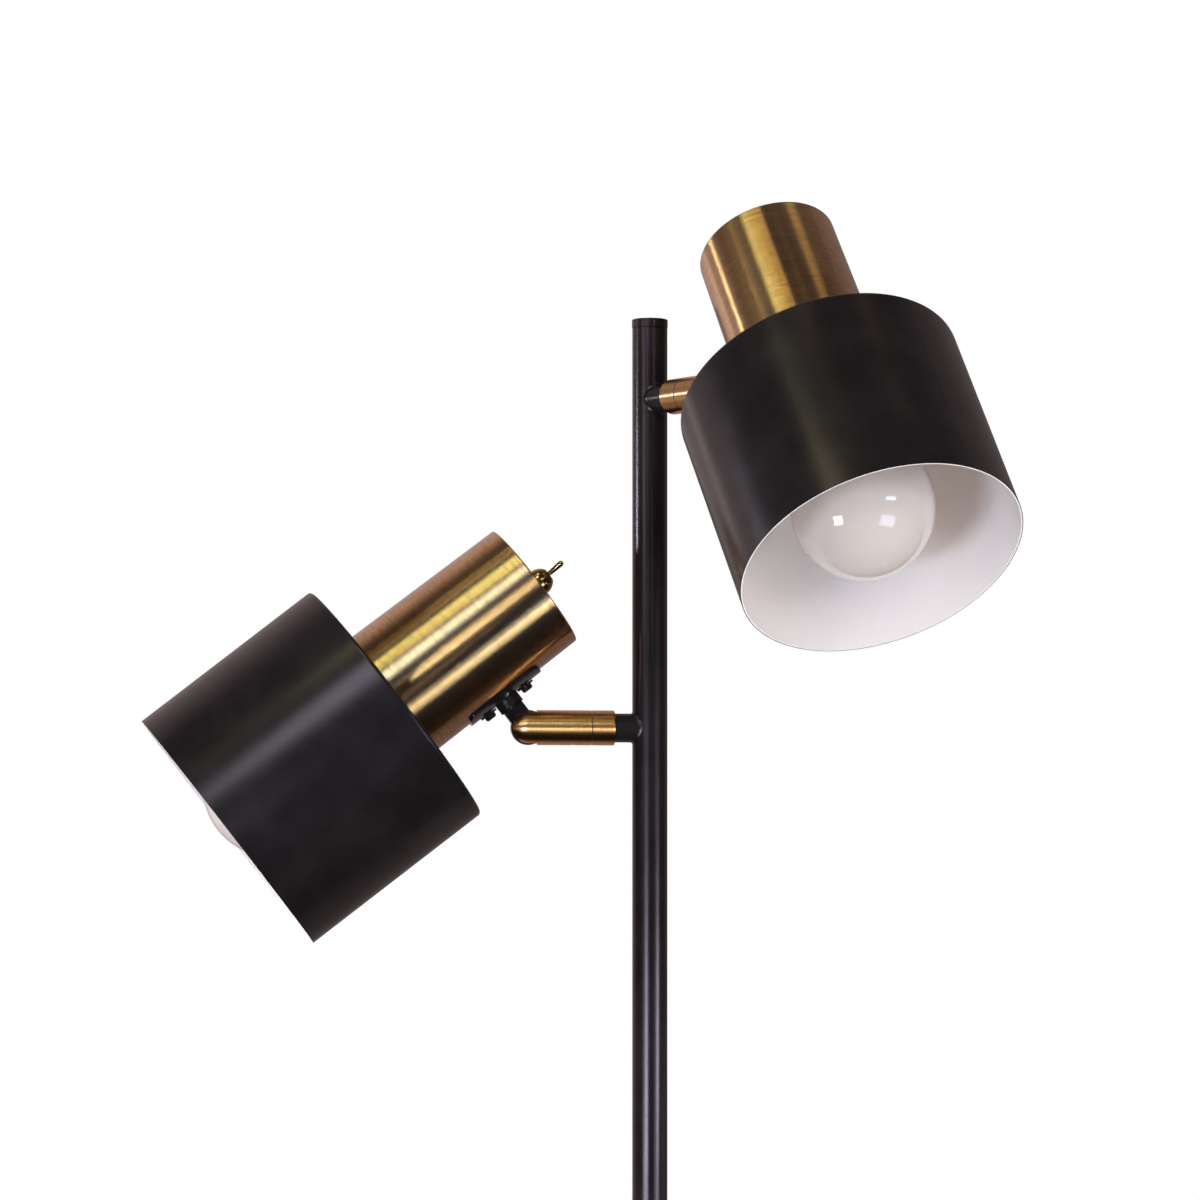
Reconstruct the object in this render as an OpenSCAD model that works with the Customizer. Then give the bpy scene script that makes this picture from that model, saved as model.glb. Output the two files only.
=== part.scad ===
// Free-standing floor lamp with two swivelling spot heads on one pole.
// Millimetres. Origin on the floor under the pole, +Z up, the pole on Z.
// The upper arm points at azimuth upper_azimuth, the lower one at lower_azimuth.

/* [Pole] */
// Height of the top of the pole above the floor
pole_h = 1550; // [1350:10:1800]
// Outer diameter of the pole
pole_d = 19; // [17:0.5:22]
// Wall of the pole tubes
pole_wall = 1.2; // [0.8:0.1:2]
// Length of the top section of the pole
top_section = 510; // [400:10:600]
// Length of the bottom section of the pole
bottom_section = 500; // [300:10:550]
// Length of the sleeves that join the sections
coupling_len = 60; // [40:2:90]
// Height of the cap that closes the pole
cap_h = 4.9; // [3:0.1:10]
// How far the cap stands out over the pole, all round
cap_lip = 0.2; // [0.1:0.1:1.5]
// Length of the cap's plug inside the pole
cap_plug = 8; // [4:1:20]
// Diameter of the flex inside the pole
flex_d = 6; // [4:0.2:7]

/* [Base] */
// Diameter of the base cover
base_d = 254; // [220:2:320]
// Height of the base cover at its edge
base_edge_h = 19; // [17:1:30]
// Rise of the base cover from its edge to the pole
base_rise = 7; // [4:1:20]
// Sheet thickness of the base cover
base_wall = 1.2; // [0.8:0.1:2]
// Radius of the rounded edge of the base cover
base_round = 4; // [3:0.5:8]
// Gap between the floor and the base cover
base_lift = 1.5; // [1:0.5:2.5]
// Thickness of the felt under the weight
felt_t = 3; // [2.5:0.5:5]
// Free space between the weight and the wall of the cover
weight_gap = 6; // [3:1:20]
// Radius of the recess for the nut under the weight
recess_r = 22; // [18:1:30]
// Depth of the recess for the nut
recess_depth = 14; // [14:0.5:17]
// Depth of the flex channel under the weight
channel_depth = 7.1; // [7.1:0.1:7.4]
// Diameter of the collar that the pole stands in
foot_d = 30; // [26:1:40]
// Height of the collar that the pole stands in
foot_h = 20; // [15:1:40]
// Depth of the pole's socket in that collar
foot_socket = 13; // [8:1:13]
// Diameter of the threaded tube that ties pole, base and weight together
stem_d = 10; // [9.5:0.5:11]

/* [Arms] */
// Distance of the upper arm below the top of the pole
upper_drop = 43.5; // [30:0.5:80]
// Distance from the upper arm down to the lower arm
arm_gap = 177.5; // [150:0.5:300]
// Direction of the upper arm, turned from +X about the pole
upper_azimuth = -51; // [-80:1:-30]
// Direction of the lower arm, turned from +X about the pole
lower_azimuth = 186; // [160:1:200]
// Diameter of the black stub that is welded to the pole
stub_d = 15.6; // [14.5:0.1:16.5]
// Free length of the stub between pole and collar
stub_show = 9.8; // [5:0.1:25]
// Depth of the stub inside the collar
stub_seat = 8.5; // [5:0.1:8.5]
// Wire hole through the stub and the swivel stud
wire_d = 5; // [3:0.5:6]
// Diameter of the brass collar and barrel
arm_d = 18.9; // [18.4:0.1:21]
// Length of the collar
collar_len = 12.3; // [9:0.1:20]
// Turning gap between collar and barrel
turn_gap = 0.5; // [0.2:0.1:0.8]
// Length of the barrel from its rear face to the pivot
barrel_len = 33.9; // [32:0.1:60]
// Rounding of the collar's edge
collar_round = 0.8; // [0.4:0.1:1.5]
// Diameter of the stud that the barrel turns on
journal_d = 12; // [10.5:0.1:12.5]
// Length of the stud inside the barrel
journal_len = 19; // [14:0.5:21]
// Width of the slot for the tongue
slot_w = 7.4; // [6:0.1:8]
// Radius of the round end of the slot
slot_r = 11; // [10.5:0.5:18]
// Gap between the tongue's round eye and the floor of the slot
slot_play = 0.4; // [0.2:0.1:0.8]
// Diameter of the pivot screw's shank
pivot_d = 4; // [3:0.1:5]
// Diameter of the pivot screw's head
pivot_head_d = 7.4; // [6.5:0.1:8.4]

/* [Heads] */
// Turn of the upper head about its arm, from upright
upper_swivel = -8; // [-30:1:30]
// Turn of the lower head about its arm, from upright
lower_swivel = -2; // [-30:1:30]
// Lean of the upper tongue, up from the line of its arm
upper_lean = 34.4; // [10:0.1:60]
// Lean of the lower tongue, up from the line of its arm
lower_lean = 52.2; // [10:0.1:60]
// Width of the tongue
tongue_w = 11.8; // [9:0.1:12.4]
// Diameter of the round eye that the tongue turns on
tongue_eye_d = 18.8; // [13:0.1:18.8]
// Side play of the tongue in the slot
tongue_play = 0.3; // [0.1:0.05:0.5]
// Length of the tongue from the pivot to its shoulder
tongue_len = 13.6; // [13:0.1:25]
// Diameter of the tongue's threaded end
tongue_stud_d = 8; // [6:0.1:9]
// Thickness of the large toothed washer
big_washer_t = 1.2; // [0.8:0.1:1.8]
// Diameter of the large toothed washer over its teeth
big_washer_d = 14.2; // [13:0.1:17]
// Diameter of the round spacer on the saddle
spacer_d = 14.2; // [12:0.1:15]
// Height of the round spacer on the saddle
spacer_h = 4.5; // [3:0.1:12]
// Length of the saddle plate along the neck
saddle_len = 47; // [42:0.5:60]
// Width of the saddle plate round the neck
saddle_w = 32; // [18:0.5:36]
// Thickness of the saddle plate
saddle_t = 1.5; // [0.8:0.1:2.5]
// Distance between the two saddle screws
screw_pitch = 25; // [24:0.5:32]
// Diameter of the saddle screws
screw_d = 4; // [3:0.1:4.4]
// Diameter of the saddle screws' heads
screw_head_d = 6.4; // [5.4:0.1:8]
// Height of the saddle screws' heads
screw_head_h = 2.4; // [1.6:0.1:3.5]
// Diameter of the small toothed washers over their teeth
small_washer_d = 10; // [7.6:0.1:10.4]
// Thickness of the small toothed washers
small_washer_t = 1.2; // [0.8:0.1:1.6]
// Thickness of the backing strap inside the neck
backing_t = 2.5; // [1.5:0.1:4]

/* [Neck and shade] */
// Diameter of the neck where it meets the shade
neck_mouth_d = 76; // [70:0.5:84]
// Diameter of the neck at its closed end
neck_back_d = 73.8; // [66:0.2:73.8]
// Length of the neck
neck_len = 98; // [85:1:130]
// Sheet thickness of the neck
neck_wall = 1.2; // [0.8:0.1:2]
// Rounding of the neck's closed end
neck_round = 1; // [0.6:0.1:3]
// Distance from the shade to the middle of the saddle
saddle_up = 48.5; // [45:0.5:55]
// Outer diameter of the shade
shade_d = 150; // [130:1:180]
// Length of the shade
shade_len = 114; // [100:1:150]
// Sheet thickness of the shade
shade_wall = 1; // [0.6:0.1:1.5]
// Rounding of the shade's closed end
shade_round = 2; // [1.6:0.1:6]
// Side shift of the upper shade on its neck, towards the arm
upper_shift = 0; // [-3:0.1:4.5]
// Side shift of the lower shade on its neck, towards the arm
lower_shift = 4.4; // [-3:0.1:4.5]
// Free play of the lampholder in the shade's hole
shade_play = 5; // [5:0.1:6]
// Thickness of the bridge pressed into the neck
bridge_t = 1.5; // [1:0.1:3]

/* [Lampholder, lamp and switch] */
// Outer diameter of the lampholder's threaded skirt
holder_d = 34; // [32:0.5:36]
// Diameter of the lampholder's shoulder
shoulder_d = 46; // [40:0.5:54]
// Height of the lampholder's shoulder
shoulder_h = 4; // [2:0.5:8]
// Height of the lampholder's body behind the bridge
holder_back = 30; // [22:1:40]
// Length of the lampholder's skirt inside the shade
skirt_len = 26; // [20:1:28]
// Bore of the lampholder
holder_bore = 27; // [26.8:0.1:28]
// Diameter of the ring nut that clamps the shade
ring_d = 58; // [56:1:66]
// Height of the ring nut
ring_h = 5; // [4:0.5:9]
// Diameter of the bulb's globe
globe_d = 75; // [60:1:80]
// Distance from the closed end of the shade to the globe's middle
globe_at = 80; // [78:0.5:86]
// Distance from the closed end of the shade to the bulb's contact
seat_at = 4.5; // [2:0.1:6]
// Diameter of the bulb's screw cap
screw_cap_d = 26.4; // [26:0.1:26.6]
// Length of the bulb's screw cap, contact included
screw_cap_len = 25; // [22:0.5:28]
// Wall of the bulb's glass
glass_t = 1; // [0.6:0.1:1.6]
// Diameter of the dome nut of the switch
dome_d = 14.5; // [13.5:0.1:18]
// Height of the dome nut of the switch
dome_h = 9.7; // [8:0.1:12]
// Diameter of the switch's threaded bush
bush_d = 11.8; // [11:0.1:12.4]
// Bore of the switch's threaded bush
bush_bore = 6.6; // [6.2:0.1:7]
// Width and depth of the switch's body
switch_w = 18; // [14:0.5:24]
// Height of the switch's body
switch_h = 20; // [12:0.5:26]
// Height of the lever's tip over the end of the neck
lever_reach = 19.6; // [16:0.1:24]
// Diameter of the lever's round tip
lever_tip_d = 3.2; // [2.4:0.1:4]
// Diameter of the lever where it leaves the dome nut
lever_root_d = 2; // [1.4:0.1:2.2]
// Direction in which the lever is thrown, turned about the neck's axis
lever_turn = 73; // [-90:1:90]
// Lean of the lever to either side
lever_lean = 11.6; // [8:0.1:12]

/* [Fits] */
// Radial clearance of the parts that turn
running_fit = 0.05; // [0.02:0.01:0.09]
// Clearance between parts that are seated on each other
seat_fit = 0.05; // [0.02:0.01:0.1]

/* [Hidden] */
$fn = 96;
OVER = 1;          // how far a cutter runs past what it cuts
ARC_STEPS = 6;     // steps of a rounded edge

pole_r = pole_d / 2;
pole_in_r = pole_r - pole_wall;
flex_r = flex_d / 2;
stem_r = stem_d / 2;
flex_play = 0.25;
stem_bore_r = flex_r + flex_play;
cap_z = pole_h - cap_h;
top_seam = cap_z - top_section;

base_r = base_d / 2;
base_top = base_edge_h + base_rise;
foot_r = foot_d / 2;
pole_foot_z = base_top + foot_h - foot_socket;
low_seam = pole_foot_z + bottom_section;
weight_r = base_r - base_wall - weight_gap;
land_margin = 2;
land_r = foot_r + land_margin;
gland_z = felt_t + channel_depth - flex_r - seat_fit;
gland_wall = 1.2;
gland_lip_w = 1;
gland_r = flex_r + gland_wall;
gland_lip_r = gland_r + gland_lip_w;
gland_lip = 1.5;
nut_h = 5;
nut_flange_t = 1.5;
nut_flange_w = 7;
nut_flange_r = stem_r + nut_flange_w;
nut_r = stem_r * 1.85;
nut_z = felt_t + recess_depth - nut_flange_t - nut_h;
felt_setback = 4;
weight_chamfer = 1;
channel_play = 1;
foot_round = 2;
cap_chamfer = 0.3;
cap_groove = 0.5;

stub_r = stub_d / 2;
wire_r = wire_d / 2;
arm_r = arm_d / 2;
journal_r = journal_d / 2;
collar_x = pole_r + stub_show;
stub_len = collar_x + stub_seat;
stub_wall = 2;
collar_end = collar_x + collar_len;
barrel_x = collar_end + turn_gap;
arm_reach = barrel_x + barrel_len;
upper_z = pole_h - upper_drop;
lower_z = upper_z - arm_gap;
plug_setback = 2;
stud_plug = stub_len - pole_r - plug_setback;
stud_plug_r = stub_r - stub_wall;
stop_d = 3;
stop_groove = 1.2;
stop_x = barrel_x + journal_len / 2;
stop_sunk = 0.6;
stop_hex_r = 0.87;
stop_hex_depth = 1.4;
bore_run_out = 1.5;
pivot_r = pivot_d / 2;
pivot_skin = 2.2;
pivot_tip = arm_r - pivot_skin;
ear_under_head = 2.4;
pivot_seat = slot_w / 2 + ear_under_head;
head_play = 0.2;
pivot_head_h = 2.2;
driver_slot = 1.2;

neck_mouth_r = neck_mouth_d / 2;
neck_back_r = neck_back_d / 2;
shade_z = -saddle_up;
neck_end = neck_len - saddle_up;
neck_mid_r = neck_r(0);
spacer_out = neck_mid_r + seat_fit + saddle_t + spacer_h;
neck_reach = tongue_len + big_washer_t + spacer_out;
tongue_t = slot_w - 2 * tongue_play;
tongue_eye_r = tongue_eye_d / 2;
screw_r = screw_d / 2;
hole_play = 0.1;
screw_hole_r = screw_r + hole_play;
tongue_stud_r = tongue_stud_d / 2;
screw_run_out = 1.5;
tongue_stud_len = neck_reach - neck_mid_r + neck_wall + backing_t + screw_run_out;
screw_len = small_washer_t + saddle_t + neck_wall + backing_t + screw_run_out;
head_round = 1.2;
cross_w = 0.8;
cross_depth = 0.8;
saddle_corner = 4;
backing_gap = 0.25;
backing_inset = 3;
backing_corner = 3;

shade_r = shade_d / 2;
holder_r = holder_d / 2;
shade_hole_r = holder_r + shade_play;
bush_r = bush_d / 2;
bush_bore_r = bush_bore / 2;
cap_skirt_t = 1.2;
dome_lid = 3.6;
lever_rise = 2;
lever_z = neck_end + lever_rise;
lever_ball = bush_bore_r - running_fit;
lever_pin_r = 0.8;
lever_pin_hold = 1.2;
lever_pin_len = bush_bore + 2 * lever_pin_hold;
pin_end_play = 0.2;

BLACK = [0.10, 0.09, 0.09];
BRASS = [0.62, 0.47, 0.28];
BRIGHT_BRASS = [0.78, 0.60, 0.33];
STEEL = [0.62, 0.62, 0.60];
IRON = [0.30, 0.30, 0.31];
FELT = [0.16, 0.16, 0.17];
RUBBER = [0.08, 0.08, 0.08];
PORCELAIN = [0.88, 0.87, 0.84];
OPAL = [0.96, 0.95, 0.92];

// ---- functions ------------------------------------------------------------

// Outer radius of the neck at height z of the head's own frame.
function neck_r(z) = neck_mouth_r - (neck_mouth_r - neck_back_r) * (z + saddle_up) / neck_len;

// Points on an arc about (cx, cy), from angle a0 to a1, stretched by sy in y.
function arc(cx, cy, r, a0, a1, sy = 1) = [
    for (i = [0:ARC_STEPS])
        let (a = a0 + (a1 - a0) * i / ARC_STEPS) [cx + r * cos(a), cy + r * sy * sin(a)]
];

// How far a flat or round thing of half-width w sinks on a cylinder of radius r.
function sag(r, w) = r - sqrt(r * r - w * w);

// ---- frames ---------------------------------------------------------------

// Turns what is drawn along +Z so that it lies along +X.
module along_x() rotate([0, 90, 0]) children();

// An arm: origin on the pole's axis, +X out along the arm.
module at_arm(upper) {
    translate([0, 0, upper ? upper_z : lower_z])
        rotate([0, 0, upper ? upper_azimuth : lower_azimuth]) children();
}

// The barrel: as the arm, turned about it by the head's swivel.
module at_barrel(upper) {
    at_arm(upper) rotate([upper ? upper_swivel : lower_swivel, 0, 0]) children();
}

// The tongue: origin at the pivot, +X along the tongue, +Y the pivot's axis.
module at_pivot(upper) {
    at_barrel(upper) translate([arm_reach, 0, 0])
        rotate([0, -(upper ? upper_lean : lower_lean), 0]) children();
}

// The head: origin on the neck's axis at the saddle, +Z away from the mouth.
module at_head(upper) at_pivot(upper) translate([neck_reach, 0, 0]) children();

// The shade: as the head, moved by the play that the shade was clamped with.
module at_shade(upper) {
    at_head(upper) translate([-(upper ? upper_shift : lower_shift), 0, shade_z]) children();
}

// Places a thing drawn upwards from Z = 0 on the neck's saddle side, +Z outwards.
module on_saddle(along = 0) translate([0, 0, along]) rotate([0, -90, 0]) children();

// ---- shared shapes --------------------------------------------------------

module tube(r, bore_r, h) {
    difference() {
        cylinder(r = r, h = h);
        translate([0, 0, -OVER]) cylinder(r = bore_r, h = h + 2 * OVER);
    }
}

// A round-cornered plate drawn flat, long side on X.
module rounded_plate(len, width, corner, h) {
    linear_extrude(h) union() {
        square([len - 2 * corner, width], center = true);
        square([len, width - 2 * corner], center = true);
        for (x = [-1, 1], y = [-1, 1])
            translate([x * (len / 2 - corner), y * (width / 2 - corner)]) circle(corner);
    }
}

// A lock washer with twisted outer teeth.
module toothed_washer(d, hole_r, t, teeth) {
    tooth_w = d * 0.15;
    tooth_t = t * 0.45;
    ring_r = d / 2 - tooth_w;
    root = t / 2;
    translate([0, 0, (t - tooth_t) / 2]) tube(ring_r, hole_r, tooth_t);
    for (i = [0:teeth - 1])
        rotate([0, 0, 360 * i / teeth]) translate([ring_r - root, 0, t / 2])
            rotate([asin(t / 2 / tooth_w), 0, 0])
                translate([0, -tooth_w / 2, -tooth_t / 2])
                    cube([d / 2 - ring_r + root, tooth_w, tooth_t]);
}

// A slice of a conical sheet that hugs the neck: from the neck's surface
// moved out by "from" to the surface moved out by "to", len long, width wide.
module neck_strap(from, to, len, width, corner) {
    intersection() {
        rotate_extrude() polygon([
            [neck_r(-len) + from, -len], [neck_r(-len) + to, -len],
            [neck_r(len) + to, len], [neck_r(len) + from, len]
        ]);
        on_saddle() rounded_plate(len, width, corner, neck_mouth_r * 2);
    }
}

// The holes for the stud of the tongue and for the two screws.
module saddle_holes(stud_hole_r, hole_r) {
    on_saddle() cylinder(r = stud_hole_r, h = neck_mouth_r * 2);
    for (side = [-1, 1])
        on_saddle(side * screw_pitch / 2) cylinder(r = hole_r, h = neck_mouth_r * 2);
}

// ---- base -----------------------------------------------------------------

// Height of the underside of the cover, and of the top of the weight, at radius r.
function under_cover(r) = base_edge_h - base_wall
    + base_rise * (base_r - base_round - r) / (base_r - base_round - land_r);

module base_felt() {
    color(FELT) tube(weight_r, recess_r + felt_setback, felt_t);
}

module base_weight() {
    color(IRON) difference() {
        rotate_extrude() polygon([
            [stem_r + seat_fit, felt_t], [weight_r, felt_t],
            [weight_r, under_cover(weight_r) - weight_chamfer],
            [weight_r - weight_chamfer, under_cover(weight_r - weight_chamfer)],
            [land_r, under_cover(land_r)], [stem_r + seat_fit, under_cover(land_r)]
        ]);
        translate([0, 0, felt_t - OVER]) cylinder(r = recess_r, h = recess_depth + OVER);
        translate([-flex_r - channel_play, 0, felt_t - OVER])
            cube([flex_d + 2 * channel_play, base_r, channel_depth + OVER]);
    }
}

module base_cover() {
    in_r = base_r - base_wall;
    in_round = base_round - base_wall;
    edge_r = base_r - base_round;
    color(BLACK) difference() {
        rotate_extrude() polygon(concat(
            [[in_r, base_lift], [base_r, base_lift]],
            arc(edge_r, base_edge_h - base_round, base_round, 0, 90),
            [[land_r, base_top], [stem_r + seat_fit, base_top],
             [stem_r + seat_fit, under_cover(land_r)], [land_r, under_cover(land_r)]],
            arc(edge_r, base_edge_h - base_round, in_round, 90, 0)
        ));
        translate([0, 0, gland_z]) rotate([-90, 0, 0])
            cylinder(r = gland_r, h = base_r + OVER);
    }
}

// A hexagon nut with a wide flange, drawn up against the weight.
module base_nut() {
    color(STEEL) translate([0, 0, nut_z]) difference() {
        union() {
            cylinder(r = nut_r, h = nut_h + OVER / 2, $fn = 6);
            translate([0, 0, nut_h]) cylinder(r = nut_flange_r, h = nut_flange_t);
        }
        translate([0, 0, -OVER]) cylinder(r = stem_r, h = nut_h + nut_flange_t + 2 * OVER);
    }
}

module base_stem() {
    color(STEEL) translate([0, 0, nut_z]) tube(stem_r, stem_bore_r, pole_foot_z - nut_z);
}

module flex_gland() {
    color(RUBBER) translate([0, base_r, gland_z]) rotate([90, 0, 0]) difference() {
        union() {
            translate([0, 0, -gland_lip]) cylinder(r = gland_lip_r, h = gland_lip);
            cylinder(r = gland_r, h = base_wall + gland_lip);
            translate([0, 0, base_wall + sag(base_r, gland_lip_r)])
                cylinder(r = gland_lip_r, h = gland_lip);
        }
        translate([0, 0, -2 * gland_lip]) cylinder(r = flex_r + seat_fit, h = base_r / 4);
    }
}

module pole_foot() {
    color(BLACK) translate([0, 0, base_top]) difference() {
        rotate_extrude() polygon(concat(
            [[0, 0], [foot_r, 0]],
            arc(foot_r - foot_round, foot_h - foot_round, foot_round, 0, 90),
            [[0, foot_h]]
        ));
        translate([0, 0, -OVER]) cylinder(r = stem_r, h = foot_h);
        translate([0, 0, foot_h - foot_socket])
            cylinder(r = pole_r + seat_fit, h = foot_socket + OVER);
    }
}

// ---- pole -----------------------------------------------------------------

module pole_tube(from, to) {
    color(BLACK) translate([0, 0, from]) tube(pole_r, pole_in_r, to - from);
}

module pole_bottom() pole_tube(pole_foot_z, low_seam);

module pole_middle() pole_tube(low_seam, top_seam);

module pole_top() {
    difference() {
        pole_tube(top_seam, cap_z);
        for (upper = [false, true])
            at_arm(upper) along_x() cylinder(r = wire_r, h = pole_d);
    }
}

module coupling(seam) {
    color(STEEL) translate([0, 0, seam - coupling_len / 2])
        tube(pole_in_r, stem_bore_r, coupling_len);
}

module lower_coupling() coupling(low_seam);

module upper_coupling() coupling(top_seam);

module pole_cap() {
    cap_r = pole_r + cap_lip;
    color(BLACK) union() {
        translate([0, 0, cap_z]) rotate_extrude() polygon([
            [0, 0], [cap_r - cap_groove, 0], [cap_r, cap_groove],
            [cap_r, cap_h - cap_chamfer], [cap_r - cap_chamfer, cap_h], [0, cap_h]
        ]);
        translate([0, 0, cap_z - cap_plug]) cylinder(r = pole_in_r, h = cap_plug);
    }
}

module inner_flex() {
    color(RUBBER) union() {
        translate([0, 0, gland_z]) cylinder(r = flex_r, h = upper_z - gland_z);
        translate([0, 0, gland_z]) sphere(r = flex_r);
        translate([0, 0, gland_z]) rotate([-90, 0, 0])
            cylinder(r = flex_r, h = base_r - base_wall);
    }
}

// ---- arms -----------------------------------------------------------------

module stub(upper) {
    color(BLACK) at_arm(upper) difference() {
        along_x() cylinder(r = stub_r, h = stub_len);
        along_x() cylinder(r = stud_plug_r, h = stub_len + OVER);
        translate([0, 0, -arm_d]) cylinder(r = pole_r, h = 2 * arm_d);
    }
}

module collar(upper) {
    color(BRIGHT_BRASS) at_arm(upper) translate([collar_x, 0, 0]) along_x()
        difference() {
            rotate_extrude() polygon(concat(
                arc(arm_r - collar_round, collar_round, collar_round, -90, 0),
                [[arm_r, collar_len], [0, collar_len], [0, 0]]
            ));
            translate([0, 0, -OVER]) cylinder(r = stub_r, h = collar_len + 2 * OVER);
        }
}

module swivel_stud(upper) {
    color(STEEL) at_arm(upper) along_x() difference() {
        union() {
            translate([0, 0, stub_len - stud_plug]) cylinder(r = stud_plug_r, h = stud_plug);
            translate([0, 0, stub_len]) cylinder(r = stub_r, h = collar_end - stub_len);
            translate([0, 0, collar_end]) cylinder(r = journal_r, h = turn_gap + journal_len);
        }
        translate([0, 0, -OVER]) cylinder(r = wire_r, h = arm_reach);
        translate([0, 0, stop_x - stop_d / 2 - running_fit]) difference() {
            cylinder(r = journal_r + OVER, h = stop_d + 2 * running_fit);
            translate([0, 0, -OVER])
                cylinder(r = journal_r - stop_groove, h = stop_d + 2 * OVER);
        }
    }
}

// The bullet-ended barrel, bored for the stud and slotted for the tongue.
module barrel(upper) {
    color(BRIGHT_BRASS) at_barrel(upper) difference() {
        union() {
            translate([barrel_x, 0, 0]) along_x() cylinder(r = arm_r, h = barrel_len);
            translate([arm_reach, 0, 0]) sphere(r = arm_r);
        }
        translate([barrel_x - OVER, 0, 0]) along_x()
            cylinder(r = journal_r + running_fit, h = journal_len + bore_run_out + OVER);
        along_x() cylinder(r = wire_r, h = arm_reach);
        translate([arm_reach + slot_r - tongue_eye_r - slot_play, slot_w / 2, 0]) rotate([90, 0, 0])
            cylinder(r = slot_r, h = slot_w);
        translate([arm_reach, 0, 0]) pivot_bore();
        translate([stop_x, 0, 0]) rotate([180, 0, 0]) cylinder(r = stop_d / 2, h = arm_d);
    }
}

// Where the pivot screw goes: a blind hole from -Y with a seat for the head.
module pivot_bore() {
    rotate([90, 0, 0]) {
        translate([0, 0, -pivot_tip]) cylinder(r = pivot_r, h = pivot_tip + arm_d);
        translate([0, 0, pivot_seat]) cylinder(r = pivot_head_d / 2 + head_play, h = arm_d);
    }
}

module pivot_screw(upper) {
    color(BRIGHT_BRASS) at_barrel(upper) translate([arm_reach, 0, 0])
        rotate([90, 0, 0]) difference() {
            union() {
                translate([0, 0, -pivot_tip]) cylinder(r = pivot_r, h = pivot_tip + pivot_seat);
                translate([0, 0, pivot_seat]) cylinder(r = pivot_head_d / 2, h = pivot_head_h);
            }
            translate([0, 0, pivot_seat + pivot_head_h])
                cube([pivot_head_d * 2, driver_slot, driver_slot * 2], center = true);
        }
}

module stop_screw(upper) {
    tip = journal_r - stop_groove + running_fit;
    head = arm_r - stop_sunk;
    color(STEEL) at_barrel(upper) translate([stop_x, 0, 0]) rotate([180, 0, 0])
        difference() {
            translate([0, 0, tip]) cylinder(r = stop_d / 2 - seat_fit, h = head - tip);
            translate([0, 0, head - stop_hex_depth])
                cylinder(r = stop_hex_r, h = stop_hex_depth + OVER, $fn = 6);
        }
}

// ---- knuckle and saddle ---------------------------------------------------

module tongue(upper) {
    color(BLACK) at_pivot(upper) difference() {
        union() {
            rotate([90, 0, 0]) translate([0, 0, -tongue_t / 2])
                cylinder(r = tongue_eye_r, h = tongue_t);
            translate([0, -tongue_t / 2, -tongue_w / 2])
                cube([tongue_len, tongue_t, tongue_w]);
            translate([tongue_len, 0, 0]) along_x()
                cylinder(r = tongue_stud_r, h = tongue_stud_len - tongue_len);
        }
        rotate([90, 0, 0]) translate([0, 0, -tongue_t])
            cylinder(r = pivot_r + running_fit, h = 2 * tongue_t);
    }
}

module big_washer(upper) {
    color(BLACK) at_pivot(upper) translate([tongue_len, 0, 0]) along_x()
        toothed_washer(big_washer_d, tongue_stud_r + seat_fit, big_washer_t, 12);
}

// The spacer's foot is cut to the round of the saddle plate.
module spacer(upper) {
    color(BLACK) at_head(upper) difference() {
        on_saddle() cylinder(r = spacer_d / 2, h = spacer_out);
        on_saddle() cylinder(r = tongue_stud_r + seat_fit, h = neck_reach);
        neck_cone(saddle_t + 2 * seat_fit);
    }
}

// The neck's surface moved out by "out", as a solid.
module neck_cone(out) {
    rotate_extrude() polygon([
        [0, shade_z], [neck_r(shade_z) + out, shade_z],
        [neck_r(neck_end) + out, neck_end], [0, neck_end]
    ]);
}

module saddle(upper) {
    color(BLACK) at_head(upper) difference() {
        neck_strap(seat_fit, seat_fit + saddle_t, saddle_len, saddle_w, saddle_corner);
        saddle_holes(tongue_stud_r + seat_fit, screw_hole_r);
    }
}

// Height over the neck's axis at which things lie on the saddle plate.
function saddle_top(z) = neck_r(z) + saddle_t + 2 * seat_fit;

module saddle_washers(upper) {
    color(BLACK) at_head(upper)
        for (z = [-screw_pitch / 2, screw_pitch / 2])
            on_saddle(z) translate([0, 0, saddle_top(z)])
                toothed_washer(small_washer_d, screw_hole_r, small_washer_t, 9);
}

module saddle_screws(upper) {
    color(BLACK) at_head(upper)
        for (z = [-screw_pitch / 2, screw_pitch / 2])
            on_saddle(z) translate([0, 0, saddle_top(z) + small_washer_t]) {
                screw_head();
                mirror([0, 0, 1]) cylinder(r = screw_r, h = screw_len);
            }
}

// A pan head with a cross slot.
module screw_head() {
    difference() {
        rotate_extrude() polygon(concat(
            [[0, 0], [screw_head_d / 2, 0]],
            arc(screw_head_d / 2 - head_round, screw_head_h - head_round, head_round, 0, 90),
            [[0, screw_head_h]]
        ));
        for (turn = [0, 90])
            rotate([0, 0, turn]) translate([0, 0, screw_head_h])
                cube([screw_head_d * 0.6, cross_w, 2 * cross_depth], center = true);
    }
}

module backing(upper) {
    outer = -neck_wall - backing_gap;
    color(STEEL) at_head(upper) difference() {
        neck_strap(outer - backing_t, outer, saddle_len - 2 * backing_inset,
            saddle_w - 2 * backing_inset, backing_corner);
        saddle_holes(tongue_stud_r, screw_r);
    }
}

// ---- neck and shade -------------------------------------------------------

module neck(upper) {
    color(BRASS) at_head(upper) difference() {
        rotate_extrude() polygon(concat(
            [[neck_mouth_r - neck_wall, shade_z], [neck_mouth_r, shade_z]],
            arc(neck_back_r - neck_round, neck_end - neck_round, neck_round, 0, 90),
            [[bush_r + seat_fit, neck_end], [bush_r + seat_fit, neck_end - neck_wall],
             [neck_back_r - neck_wall, neck_end - neck_wall]]
        ));
        saddle_holes(tongue_stud_r + seat_fit, screw_hole_r);
    }
}

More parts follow.
